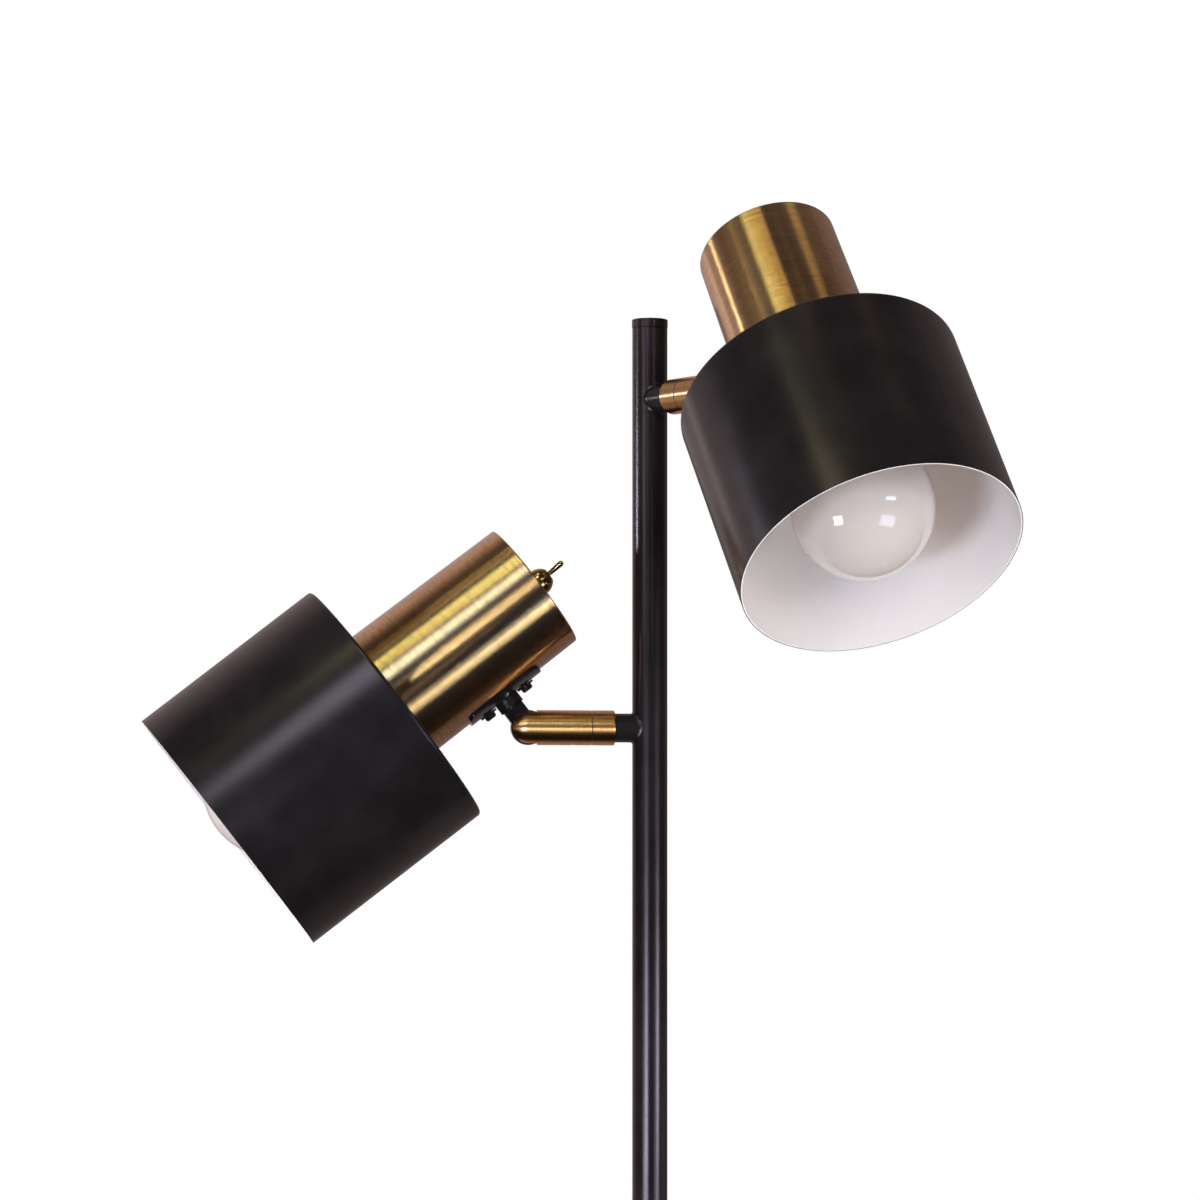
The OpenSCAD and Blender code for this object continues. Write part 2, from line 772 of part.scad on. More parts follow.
module bridge(upper) {
    bridge_r = neck_mouth_r - neck_wall
        - (neck_mouth_r - neck_back_r) * bridge_t / neck_len;
    color(STEEL) at_head(upper) translate([0, 0, shade_z])
        tube(bridge_r, holder_r + seat_fit, bridge_t);
}

module shade(upper) {
    in_r = shade_r - shade_wall;
    in_round = shade_round - shade_wall;
    color(BLACK) at_shade(upper) mirror([0, 0, 1]) rotate_extrude() polygon(concat(
        [[shade_hole_r, 0]],
        arc(shade_r - shade_round, shade_round, shade_round, -90, 0),
        [[shade_r, shade_len], [in_r, shade_len]],
        arc(shade_r - shade_round, shade_round, in_round, 0, -90),
        [[shade_hole_r, shade_wall]]
    ));
}

module lampholder(upper) {
    bore_r = holder_bore / 2;
    color(PORCELAIN) at_head(upper) translate([0, 0, shade_z]) difference() {
        union() {
            translate([0, 0, -skirt_len]) cylinder(r = holder_r, h = skirt_len + bridge_t);
            translate([0, 0, bridge_t]) cylinder(r = shoulder_d / 2, h = shoulder_h);
            translate([0, 0, bridge_t]) cylinder(r = holder_r, h = holder_back);
        }
        translate([0, 0, -skirt_len - OVER])
            cylinder(r = bore_r, h = skirt_len - seat_at + OVER);
    }
}

module ring_nut(upper) {
    grips = 12;
    grip_r = 2.2;
    grip_out = 1;
    grip_lip = 0.5;
    color(PORCELAIN) at_head(upper)
        translate([0, 0, shade_z - shade_wall - ring_h]) difference() {
            tube(ring_d / 2, holder_r + seat_fit, ring_h);
            for (i = [0:grips - 1])
                rotate([0, 0, 360 * i / grips]) translate([ring_d / 2 + grip_out, 0, -OVER])
                    cylinder(r = grip_r, h = ring_h - grip_lip + OVER);
        }
}

module bulb_glass(upper) {
    globe_r = globe_d / 2;
    throat_r = screw_cap_d / 2 - cap_skirt_t;
    color(OPAL) at_head(upper) translate([0, 0, shade_z]) mirror([0, 0, 1])
        rotate_extrude() difference() {
            bulb_outline(globe_r, throat_r, 0);
            bulb_outline(globe_r - glass_t, throat_r - glass_t, OVER);
        }
}

// Half the outline of globe and throat, from the cap downwards. The throat
// flares from where it leaves the cap into the globe.
module bulb_outline(globe_r, throat_r, extra) {
    cap_edge = seat_at + screw_cap_len;
    glass_in_cap = 4;
    flare_turn = 53;
    start = cap_edge - glass_in_cap - extra;
    intersection() {
        union() {
            translate([0, globe_at]) circle(globe_r);
            translate([0, start]) square([throat_r, globe_at - start]);
            polygon([
                [0, cap_edge], [throat_r, cap_edge],
                [globe_r * cos(flare_turn), globe_at - globe_r * sin(flare_turn)], [0, globe_at]
            ]);
        }
        square([globe_d, globe_at + globe_d]);
    }
}

module bulb_cap(upper) {
    cap_r = screw_cap_d / 2;
    tip_r = 5;
    tip_h = 4;
    shoulder = 2;
    floor_t = 1;
    color(STEEL) at_head(upper) translate([0, 0, shade_z - seat_at]) mirror([0, 0, 1])
        rotate_extrude() polygon([
            [0, 0], [tip_r, 0], [cap_r - shoulder, tip_h], [cap_r, tip_h + shoulder],
            [cap_r, screw_cap_len], [cap_r - cap_skirt_t, screw_cap_len],
            [cap_r - cap_skirt_t, tip_h + 2 * shoulder], [tip_r, tip_h + floor_t],
            [0, tip_h + floor_t]
        ]);
}

// ---- switch ---------------------------------------------------------------

module switch_body(upper) {
    top = neck_end - neck_wall;
    color(BLACK) at_head(upper) difference() {
        union() {
            translate([-switch_w / 2, -switch_w / 2, top - switch_h])
                cube([switch_w, switch_w, switch_h]);
            translate([0, 0, top]) cylinder(r = bush_r, h = neck_wall + dome_h - dome_lid);
        }
        translate([0, 0, lever_z - lever_ball - OVER])
            cylinder(r = bush_bore_r, h = dome_h + switch_h);
        translate([0, 0, lever_z]) rotate([90, 0, lever_turn])
            cylinder(r = lever_pin_r + running_fit, h = lever_pin_len + 2 * pin_end_play,
                center = true);
    }
}

module switch_nut(upper) {
    straight = 2.6;
    top_turn = 60;
    color(BRIGHT_BRASS) at_head(upper) translate([0, 0, neck_end]) difference() {
        rotate_extrude() polygon(concat(
            [[0, 0], [dome_d / 2, 0]],
            arc(0, straight, dome_d / 2, 0, top_turn,
                (dome_h - straight) / (dome_d / 2 * sin(top_turn))),
            [[0, dome_h]]
        ));
        translate([0, 0, -OVER])
            cylinder(r = bush_r + seat_fit, h = dome_h - dome_lid + OVER);
        cylinder(r = bush_bore_r, h = dome_h + OVER);
    }
}

// A ball on a cross pin, with a tapering bat that ends in a round tip.
module switch_lever(upper) {
    tip_r = lever_tip_d / 2;
    bat = (lever_reach - (lever_z - neck_end)) / cos(lever_lean) - tip_r;
    color(BRIGHT_BRASS) at_head(upper) translate([0, 0, lever_z]) rotate([0, 0, lever_turn]) {
        rotate([90, 0, 0]) cylinder(r = lever_pin_r, h = lever_pin_len, center = true);
        rotate([0, lever_lean, 0]) {
            sphere(r = lever_ball);
            cylinder(r1 = lever_root_d / 2 * 0.9, r2 = tip_r, h = bat);
            translate([0, 0, bat]) sphere(r = tip_r);
        }
    }
}

// ---- the two heads --------------------------------------------------------

module upper_stub() stub(true);
module upper_collar() collar(true);
module upper_swivel_stud() swivel_stud(true);
module upper_barrel() barrel(true);
module upper_stop_screw() stop_screw(true);
module upper_pivot_screw() pivot_screw(true);
module upper_tongue() tongue(true);
module upper_big_washer() big_washer(true);
module upper_spacer() spacer(true);
module upper_saddle() saddle(true);
module upper_saddle_washers() saddle_washers(true);
module upper_saddle_screws() saddle_screws(true);
module upper_backing() backing(true);
module upper_neck() neck(true);
module upper_bridge() bridge(true);
module upper_shade() shade(true);
module upper_lampholder() lampholder(true);
module upper_ring_nut() ring_nut(true);
module upper_bulb_glass() bulb_glass(true);
module upper_bulb_cap() bulb_cap(true);
module upper_switch_body() switch_body(true);
module upper_switch_nut() switch_nut(true);
module upper_switch_lever() switch_lever(true);

module lower_stub() stub(false);
module lower_collar() collar(false);
module lower_swivel_stud() swivel_stud(false);
module lower_barrel() barrel(false);
module lower_stop_screw() stop_screw(false);
module lower_pivot_screw() pivot_screw(false);
module lower_tongue() tongue(false);
module lower_big_washer() big_washer(false);
module lower_spacer() spacer(false);
module lower_saddle() saddle(false);
module lower_saddle_washers() saddle_washers(false);
module lower_saddle_screws() saddle_screws(false);
module lower_backing() backing(false);
module lower_neck() neck(false);
module lower_bridge() bridge(false);
module lower_shade() shade(false);
module lower_lampholder() lampholder(false);
module lower_ring_nut() ring_nut(false);
module lower_bulb_glass() bulb_glass(false);
module lower_bulb_cap() bulb_cap(false);
module lower_switch_body() switch_body(false);
module lower_switch_nut() switch_nut(false);
module lower_switch_lever() switch_lever(false);

base_felt();
base_weight();
base_cover();
base_nut();
base_stem();
flex_gland();
pole_foot();
pole_bottom();
pole_middle();
pole_top();
lower_coupling();
upper_coupling();
pole_cap();
inner_flex();
upper_stub();
upper_collar();
upper_swivel_stud();
upper_barrel();
upper_stop_screw();
upper_pivot_screw();
upper_tongue();
upper_big_washer();
upper_spacer();
upper_saddle();
upper_saddle_washers();
upper_saddle_screws();
upper_backing();
upper_neck();
upper_bridge();
upper_shade();
upper_lampholder();
upper_ring_nut();
upper_bulb_glass();
upper_bulb_cap();
upper_switch_body();
upper_switch_nut();
upper_switch_lever();
lower_stub();
lower_collar();
lower_swivel_stud();
lower_barrel();
lower_stop_screw();
lower_pivot_screw();
lower_tongue();
lower_big_washer();
lower_spacer();
lower_saddle();
lower_saddle_washers();
lower_saddle_screws();
lower_backing();
lower_neck();
lower_bridge();
lower_shade();
lower_lampholder();
lower_ring_nut();
lower_bulb_glass();
lower_bulb_cap();
lower_switch_body();
lower_switch_nut();
lower_switch_lever();
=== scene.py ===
import math

import bmesh
import bpy
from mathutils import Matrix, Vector


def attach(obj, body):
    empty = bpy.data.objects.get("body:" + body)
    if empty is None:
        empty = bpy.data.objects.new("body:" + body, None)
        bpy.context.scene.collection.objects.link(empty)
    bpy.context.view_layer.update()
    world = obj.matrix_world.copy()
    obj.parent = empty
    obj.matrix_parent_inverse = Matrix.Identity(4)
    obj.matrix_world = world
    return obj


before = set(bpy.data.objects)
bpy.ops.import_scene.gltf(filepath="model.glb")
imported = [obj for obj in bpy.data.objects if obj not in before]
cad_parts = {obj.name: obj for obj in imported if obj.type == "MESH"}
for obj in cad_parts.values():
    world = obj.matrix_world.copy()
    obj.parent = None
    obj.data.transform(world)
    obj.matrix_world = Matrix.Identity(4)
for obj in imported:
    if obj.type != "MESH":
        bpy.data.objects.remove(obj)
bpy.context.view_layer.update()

scene = bpy.context.scene
MM = 0.001
UP = Vector((0.0, 0.0, 1.0))
SIDES = ("upper", "lower")

# Axes and centres of the turned parts, in metres in the CAD frame. A head's axis runs from its
# open mouth to its back. An arm's axis runs out from the pole.
HEAD_AXIS = {"upper": Vector((-0.2663, 0.5113, 0.8171)), "lower": Vector((0.7881, 0.0613, 0.6125))}
HEAD_CENTRE = {
    "upper": Vector((0.075374, -0.085794, 1.539120)),
    "lower": Vector((-0.101011, -0.012233, 1.375042)),
}
ARM_AXIS = {"upper": Vector((0.6293, -0.7771, 0.0)), "lower": Vector((-0.9945, -0.1045, 0.0))}
PIVOT = {
    "upper": Vector((0.041535, -0.051292, 1.5065)),
    "lower": Vector((-0.065638, -0.006899, 1.3290)),
}
# Each shade's own axis goes through this point. The lower one sits a little off its neck's axis.
SHADE_CENTRE = {
    "upper": HEAD_CENTRE["upper"],
    "lower": HEAD_CENTRE["lower"] + Vector((0.002669, 0.000403, -0.003475)),
}
SHADE_R = 75 * MM
SHADE_BACK = -48.5 * MM
SHADE_ROUND = 2 * MM
# The middle of the shade's sheet, counted outwards from its outer face.
SHADE_MIDDLE = -0.45 * MM
POLE_R = 9.5 * MM
STUB_R = 7.8 * MM


# ---------------------------------------------------------------- node helpers

class Nodes:
    """The nodes of a material or world, with short calls for the kinds used below."""

    def __init__(self, tree):
        self.nodes = tree.nodes
        self.links = tree.links

    def add(self, kind, **settings):
        node = self.nodes.new("ShaderNode" + kind)
        for key, value in settings.items():
            setattr(node, key, value)
        return node

    def put(self, socket, value):
        """Links an output to socket, or sets its constant."""
        if isinstance(value, bpy.types.NodeSocket):
            self.links.new(value, socket)
        else:
            socket.default_value = value

    def math(self, operation, a, b):
        node = self.add("Math", operation=operation)
        self.put(node.inputs[0], a)
        self.put(node.inputs[1], b)
        return node.outputs[0]

    def vec(self, operation, a, b=None):
        node = self.add("VectorMath", operation=operation)
        self.put(node.inputs[0], a)
        if b is not None:
            self.put(node.inputs["Scale" if operation == "SCALE" else 1], b)
        return node.outputs["Value" if operation in ("DOT_PRODUCT", "LENGTH") else "Vector"]

    def place(self):
        return self.add("TexCoord").outputs["Object"]

    def noise(self, scale, where=None, detail=2.0, rough=0.5, warp=0.0):
        """Noise with scale steps to the metre, or to the unit of where."""
        node = self.add("TexNoise")
        self.put(node.inputs["Vector"], where or self.place())
        node.inputs["Scale"].default_value = scale
        node.inputs["Detail"].default_value = detail
        node.inputs["Roughness"].default_value = rough
        node.inputs["Distortion"].default_value = warp
        return node.outputs["Fac"]

    def span(self, value, low, high, out_low, out_high):
        """value from low to high becomes out_low to out_high, smoothly and held at the ends."""
        node = self.add("MapRange", interpolation_type="SMOOTHSTEP")
        for socket, v in zip(node.inputs, (value, low, high, out_low, out_high)):
            self.put(socket, v)
        return node.outputs[0]

    def mix(self, share, a, b):
        """Colour a turning into colour b as share goes from 0 to 1."""
        node = self.add("Mix", data_type="RGBA")
        self.put(node.inputs["Factor"], share)
        for socket, colour in ((node.inputs[6], a), (node.inputs[7], b)):
            self.put(socket, colour if isinstance(colour, bpy.types.NodeSocket) else (*colour, 1))
        return node.outputs[2]

    def bump(self, height, depth, strength):
        node = self.add("Bump")
        self.put(node.inputs["Height"], height)
        node.inputs["Distance"].default_value = depth
        node.inputs["Strength"].default_value = strength
        return node.outputs["Normal"]


def material(name, **constants):
    """The Nodes of a new material whose shader has these constants on its own sockets."""
    made = bpy.data.materials.new(name)
    made.use_nodes = True
    m = Nodes(made.node_tree)
    m.shader = m.nodes["Principled BSDF"]
    m.made = made
    for key, value in constants.items():
        m.shader.inputs[key.replace("_", " ")].default_value = value
    return m


def finish_of(m, colour, roughness, normal=None):
    """Puts these on m's shader and gives back its material."""
    for key, value in (("Base Color", colour), ("Roughness", roughness), ("Normal", normal)):
        if value is not None:
            m.put(m.shader.inputs[key], value)
    return m.made


def darker(colour, share):
    return tuple(c * share for c in colour)


# ------------------------------------------------------------------- materials

BLACK = (0.0060, 0.0055, 0.0058)
BLACK_WORN = (0.0095, 0.0085, 0.0088)
BLACK_WAVY = (0.014, 0.0125, 0.013)
DUST = (0.05, 0.044, 0.042)
SHEEN = (1.0, 0.72, 0.76, 1.0)
INSIDE = (0.872, 0.820, 0.787)
INSIDE_SOOTY = (0.842, 0.786, 0.754)
BRASS = (1.0, 0.54, 0.175)
BRASS_STAIN = (0.94, 0.44, 0.125)
ANTIQUE = (0.86, 0.50, 0.175)
ANTIQUE_STAIN = (0.70, 0.375, 0.125)

# The orange peel of the satin paint.
PEEL_DEPTH = 0.03 * MM
PEEL_STRENGTH = 0.25

# The brushing of the brass. The lacquer's values were fitted to the spread and strength of the
# photograph's highlights.
LACQUER_ROUGHNESS = 0.24
LACQUER_IOR = 1.75
RINGS_PER_METRE = 800.0
RING_DRIFT = 4.0
SCRATCHES_PER_METRE = 1350.0
SCRATCH_DEPTH = 0.001 * MM


def satin_paint(name):
    """Sprayed satin paint: a fine orange peel, dust specks and soft wipe marks. Gives its Nodes,
    colour, roughness and peel."""
    m = material(name, Specular_Tint=SHEEN)
    peel = m.noise(700, detail=3)
    cloud = m.noise(34, detail=4, rough=0.6)
    speck = m.span(m.noise(2600, detail=1), 0.72, 0.78, 0.0, 1.0)
    colour = m.mix(m.span(cloud, 0.35, 0.7, 0, 1), BLACK, BLACK_WORN)
    colour = m.mix(m.math("MULTIPLY", speck, 0.35), colour, DUST)
    rough = m.math("ADD", m.span(cloud, 0.3, 0.75, 0.225, 0.26), m.math("MULTIPLY", speck, 0.15))
    return m, colour, rough, peel


def black_paint(name):
    m, colour, rough, peel = satin_paint(name)
    return finish_of(m, colour, rough, m.bump(peel, PEEL_DEPTH, PEEL_STRENGTH))


def black_gloss(name):
    """Dipped gloss enamel on the small steel parts, with a soft waviness and a few pits."""
    m = material(name, Specular_Tint=SHEEN, Coat_Weight=0.6, Coat_Roughness=0.08)
    wave = m.noise(240, detail=3)
    pit = m.span(m.noise(1500, detail=2), 0.66, 0.76, 0.0, 1.0)
    colour = m.mix(m.span(m.noise(90, detail=3), 0.35, 0.7, 0, 1), BLACK, BLACK_WAVY)
    colour = m.mix(m.math("MULTIPLY", pit, 0.4), colour, DUST)
    rough = m.math("ADD", m.span(wave, 0.3, 0.7, 0.085, 0.14), m.math("MULTIPLY", pit, 0.15))
    return finish_of(m, colour, rough, m.bump(wave, 0.06 * MM, 0.4))


def shade_paint(name, side):
    """Satin black outside and white inside. The change lies in the middle of the sheet, so the rim
    is black outside and white inside."""
    m, dark, rough, peel = satin_paint(name)
    from_centre = m.vec("SUBTRACT", m.place(), SHADE_CENTRE[side])
    along = m.vec("DOT_PRODUCT", from_centre, HEAD_AXIS[side])
    radial = m.vec("LENGTH", m.vec("CROSS_PRODUCT", from_centre, HEAD_AXIS[side]))
    side_gap = m.math("SUBTRACT", radial, SHADE_R - SHADE_ROUND)
    back_gap = m.math("SUBTRACT", along, SHADE_BACK - SHADE_ROUND)
    corner = m.add("CombineXYZ")
    m.put(corner.inputs[0], m.math("MAXIMUM", side_gap, 0.0))
    m.put(corner.inputs[1], m.math("MAXIMUM", back_gap, 0.0))
    inner = m.math("MINIMUM", m.math("MAXIMUM", side_gap, back_gap), 0.0)
    # how far a point lies beyond the sheet's outer face, and less than 0 behind it
    beyond = m.math(
        "SUBTRACT", m.math("ADD", m.vec("LENGTH", corner.outputs[0]), inner), SHADE_ROUND)
    outside = m.math("GREATER_THAN", beyond, SHADE_MIDDLE)
    soot = m.noise(22, detail=4, rough=0.55)
    pale = m.mix(m.span(soot, 0.35, 0.75, 0, 1), INSIDE, INSIDE_SOOTY)
    colour = m.mix(outside, pale, dark)
    return finish_of(m, colour, rough, m.bump(peel, PEEL_DEPTH, PEEL_STRENGTH))


def turned_brass(name, axis, centre, tone, stain, roughness, stretch, arc):
    """Brushed and lacquered brass: fine rings and broken scratches round the axis, highlights
    drawn out across them, and a clear coat. A scratch is about arc long."""
    m = material(name, Metallic=1.0, Anisotropic=stretch, Coat_Weight=1.0,
                 Coat_Roughness=LACQUER_ROUGHNESS, Coat_IOR=LACQUER_IOR)
    place = m.place()
    from_centre = m.vec("SUBTRACT", place, centre)
    ring = m.vec("CROSS_PRODUCT", axis, from_centre)
    tangent = m.vec("CROSS_PRODUCT", m.add("TexCoord").outputs["Normal"], ring)
    turn = m.add("VectorTransform", vector_type="VECTOR", convert_from="OBJECT",
                 convert_to="WORLD")
    m.put(turn.inputs[0], tangent)
    m.put(m.shader.inputs["Tangent"], turn.outputs[0])
    along = m.vec("DOT_PRODUCT", from_centre, axis)
    radius = m.vec("LENGTH", ring)
    # rings: each change along or out from the axis is a new one, and they drift as they go round
    lathe = m.add("CombineXYZ")
    m.put(lathe.inputs[0], m.math("MULTIPLY", along, RINGS_PER_METRE))
    m.put(lathe.inputs[1], m.math("MULTIPLY", radius, RINGS_PER_METRE))
    m.put(lathe.inputs[2], m.math("MULTIPLY", m.noise(9, place), RING_DRIFT))
    rings = m.noise(1.0, lathe.outputs[0], detail=2, rough=0.6)
    # scratches: steps of about arc in every direction, cut into fine ones along the axis
    fine = m.vec("SCALE", from_centre, 1.0 / arc)
    squeeze = m.vec("SCALE", axis, m.math("MULTIPLY", along, SCRATCHES_PER_METRE))
    scratch = m.noise(1.0, m.vec("ADD", fine, squeeze), detail=1, rough=0.5)
    cloud = m.noise(30, place, detail=3, rough=0.55)
    spot = m.span(m.noise(330, place, detail=1), 0.72, 0.80, 0.0, 0.2)
    colour = m.mix(m.span(cloud, 0.3, 0.75, 0, 0.6), tone, stain)
    colour = m.mix(m.span(rings, 0.35, 0.7, 0.0, 0.30), colour, stain)
    colour = m.mix(m.span(scratch, 0.38, 0.70, 0.0, 0.50), colour, darker(stain, 0.62))
    colour = m.mix(spot, colour, darker(stain, 0.6))
    rough = m.span(scratch, 0.3, 0.7, roughness - 0.010, roughness + 0.012)
    height = m.math("ADD", m.math("MULTIPLY", rings, 0.5), scratch)
    return finish_of(m, colour, rough, m.bump(height, SCRATCH_DEPTH, 0.25))


def plated(name, low, high, rough_low, rough_high, depth=0.02 * MM, spots=0.3):
    """Plated or aged metal: tumbled grain, small stains and worn patches."""
    m = material(name, Metallic=1.0)
    cloud = m.noise(130, detail=5, rough=0.65)
    fine = m.noise(900, detail=3)
    spot = m.span(m.noise(520, detail=3), 0.62, 0.74, 0.0, spots)
    colour = m.mix(m.span(cloud, 0.32, 0.7, 0, 1), low, high)
    half_bright = tuple(0.25 * (a + b) for a, b in zip(low, high))
    colour = m.mix(spot, colour, half_bright)
    rough = m.math(
        "ADD", m.span(cloud, 0.3, 0.72, rough_low, rough_high), m.math("MULTIPLY", spot, 0.2))
    return finish_of(m, colour, rough, m.bump(fine, depth, 0.4))


def cast_iron():
    """Primed casting with a sandy skin and some rust."""
    m = material("iron_casting", Metallic=0.6)
    sand = m.noise(420, detail=5, rough=0.7)
    rust = m.span(m.noise(35, detail=6, rough=0.7), 0.52, 0.7, 0, 0.7)
    colour = m.mix(rust, (0.045, 0.043, 0.042), (0.12, 0.052, 0.022))
    return finish_of(m, colour, m.span(sand, 0.3, 0.7, 0.6, 0.85), m.bump(sand, 0.5 * MM, 0.6))


def felt_pad():
    """Pressed wool felt: matted fibres and paler patches."""
    m = material("felt_wool", Sheen_Weight=0.4, Sheen_Roughness=0.6)
    fibre = m.noise(1400, detail=5, rough=0.75, warp=1.5)
    patch = m.noise(60, detail=3)
    colour = m.mix(m.span(fibre, 0.3, 0.7, 0, 1), (0.008, 0.013, 0.010), (0.03, 0.042, 0.033))
    colour = m.mix(m.span(patch, 0.4, 0.7, 0, 0.4), colour, (0.04, 0.045, 0.04))
    return finish_of(m, colour, m.span(fibre, 0.3, 0.7, 0.9, 1.0), m.bump(fibre, 0.6 * MM, 0.8))


def moulded(name, low, high, rough_low, rough_high):
    """Moulded rubber or plastic with a fine spark-eroded grain."""
    m = material(name)
    fine = m.noise(1200, detail=3)
    cloud = m.noise(80, detail=4)
    colour = m.mix(m.span(cloud, 0.35, 0.7, 0, 1), low, high)
    rough = m.span(fine, 0.3, 0.7, rough_low, rough_high)
    return finish_of(m, colour, rough, m.bump(fine, 0.03 * MM, 0.5))


def porcelain():
    """Glazed porcelain with a few dark specks in the glaze."""
    m = material("glazed_porcelain", Coat_Weight=0.6, Coat_Roughness=0.05)
    cloud = m.noise(60, detail=3)
    speck = m.span(m.noise(1500, detail=1), 0.72, 0.76, 0, 0.6)
    colour = m.mix(m.span(cloud, 0.35, 0.7, 0, 1), (0.76, 0.74, 0.69), (0.82, 0.80, 0.76))
    colour = m.mix(speck, colour, (0.35, 0.3, 0.24))
    rough = m.span(cloud, 0.3, 0.7, 0.16, 0.24)
    return finish_of(m, colour, rough, m.bump(m.noise(160), 0.1 * MM, 0.2))


def opal_glass():
    """White coated globe: glossy outside with a soft, slightly warm body and a little dust."""
    m = material("opal_globe", Subsurface_Weight=0.25, Subsurface_Scale=0.004, IOR=1.52,
                 Coat_Weight=1.0, Coat_Roughness=0.03, Subsurface_Radius=(1.0, 0.7, 0.6))
    cloud = m.noise(28, detail=3)
    dust = m.span(m.noise(1900, detail=2), 0.68, 0.78, 0, 0.35)
    colour = m.mix(m.span(cloud, 0.3, 0.75, 0, 1), (0.765, 0.70, 0.69), (0.80, 0.74, 0.73))
    colour = m.mix(dust, colour, (0.5, 0.44, 0.42))
    rough = m.math("ADD", m.span(cloud, 0.3, 0.75, 0.05, 0.09), m.math("MULTIPLY", dust, 0.25))
    return finish_of(m, colour, rough, m.bump(m.noise(90, detail=1), 0.02 * MM, 0.25))


materials = {
    "satin_black": black_paint("black_satin_paint"),
    "black_hardware": black_gloss("black_gloss_enamel"),
    "zinc_steel": plated("zinc_plate", (0.50, 0.49, 0.46), (0.62, 0.60, 0.56), 0.26, 0.42),
    "nickel": plated("nickel_shell", (0.60, 0.55, 0.48), (0.70, 0.65, 0.58), 0.16, 0.3, spots=0.5),
    "cast_iron": cast_iron(),
    "felt": felt_pad(),
    "black_rubber": moulded(
        "black_rubber", (0.014, 0.014, 0.014), (0.026, 0.025, 0.024), 0.55, 0.75),
    "black_plastic": moulded(
        "phenolic_plastic", (0.012, 0.010, 0.009), (0.024, 0.019, 0.016), 0.28, 0.42),
    "porcelain": porcelain(),
    "opal_glass": opal_glass(),
}
for side in SIDES:
    materials[side + "arm_brass"] = turned_brass(
        side + "_turned_brass", ARM_AXIS[side], PIVOT[side], BRASS, BRASS_STAIN,
        roughness=0.327, stretch=0.87, arc=3 * MM)
    materials[side + "antique_brass"] = turned_brass(
        side + "_spun_brass", HEAD_AXIS[side], HEAD_CENTRE[side], ANTIQUE, ANTIQUE_STAIN,
        roughness=0.2515, stretch=1.0, arc=9 * MM)
    materials[side + "shade_paint"] = shade_paint(side + "_shade_enamel", side)
materials["switch_brass"] = plated(
    "aged_brass", (0.52, 0.31, 0.13), (0.66, 0.41, 0.17), 0.13, 0.2, depth=0.004 * MM)

slot_of = {}
for name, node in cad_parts.items():
    slot_name = node.material_slots[0].material.name.split(".")[0]
    slot_of[name] = slot_name
    side = name.split("_")[0]
    node.material_slots[0].material = materials.get(side + slot_name) or materials[slot_name]


# ---------------------------------------------------------------- added detail

FILLET = 1.3 * MM
FILLET_TURNS = 144
FILLET_STEPS = 8
EDGE_BREAK = 0.22 * MM
SHARP_ANGLE = math.radians(40)


def weld_fillet(name, side):
    """The small concave fillet of weld and paint where an arm's stub meets the pole."""
    out = ARM_AXIS[side]
    across = out.cross(UP)
    flank = POLE_R * 0.9999
    bm = bmesh.new()
    rings = []
    for i in range(FILLET_TURNS):
        a = 2 * math.pi * i / FILLET_TURNS
        # a bead laid by hand isn't quite even
        wobble = 1.0 + 0.10 * math.sin(7 * a + 0.6) + 0.06 * math.sin(17 * a)
        foot = FILLET * wobble
        stub_x, stub_z = STUB_R * math.cos(a), STUB_R * math.sin(a)
        reach = math.sqrt(POLE_R ** 2 - stub_x ** 2)
        on_stub = across * stub_x + UP * stub_z + out * (reach + foot)
        corner = across * stub_x + UP * stub_z + out * reach
        # the pole's surface, a step of foot away from the stub and short of the pole's flank
        pole_x, pole_z = (STUB_R + foot) * math.cos(a), (STUB_R + foot) * math.sin(a)
        pole_x = max(-flank, min(flank, pole_x))
        on_pole = across * pole_x + UP * pole_z + out * math.sqrt(POLE_R ** 2 - pole_x ** 2)
        ring = []
        for k in range(FILLET_STEPS + 1):
            t = k / FILLET_STEPS
            p = on_stub * (1 - t) ** 2 + corner * 2 * t * (1 - t) + on_pole * t ** 2
            ring.append(bm.verts.new(p + UP * PIVOT[side].z))
        rings.append(ring)
    for i, ring in enumerate(rings):
        after = rings[(i + 1) % FILLET_TURNS]
        for k in range(FILLET_STEPS):
            face = bm.faces.new((ring[k], ring[k + 1], after[k + 1], after[k]))
            face.smooth = True
    bmesh.ops.recalc_face_normals(bm, faces=bm.faces)
    mesh = bpy.data.meshes.new(name)
    bm.to_mesh(mesh)
    bm.free()
    made = bpy.data.objects.new(name, mesh)
    scene.collection.objects.link(made)
    mesh.materials.append(materials["satin_black"])
    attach(made, "stand")


for side in SIDES:
    weld_fillet(side + "_weld", side)


def soften(node):
    """Breaks a CAD node's sharp edges, as tumbling and plating do."""
    edge = node.modifiers.new("edges", "BEVEL")
    edge.width = EDGE_BREAK
    edge.segments = 2
    edge.limit_method = "ANGLE"
    edge.angle_limit = SHARP_ANGLE
    edge.harden_normals = True


for name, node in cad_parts.items():
    if slot_of[name] == "black_hardware":
        soften(node)


# ------------------------------------------------------------- floor and light

FLOOR_R = 3.0
WASH_HEIGHT = 3.0
WASH_SIDE = 9.0
WASH_RADIANCE = 2.0
HEADS_HEIGHT = 1.4
LIGHT_DISTANCE = 1.3

WHITE = (1.0, 1.0, 1.0)
COOL = (0.80, 0.97, 1.16)
GOLD = (1.0, 1.2, 0.62)
ROSE = (1.08, 0.98, 0.88)


def direction(azimuth, elevation):
    """The way to look from the heads, in degrees: azimuth 0 is the camera's side and positive to
    the right, elevation is positive upwards."""
    az, el = math.radians(azimuth), math.radians(elevation)
    return Vector((math.sin(az) * math.cos(el), -math.cos(az) * math.cos(el), math.sin(el)))


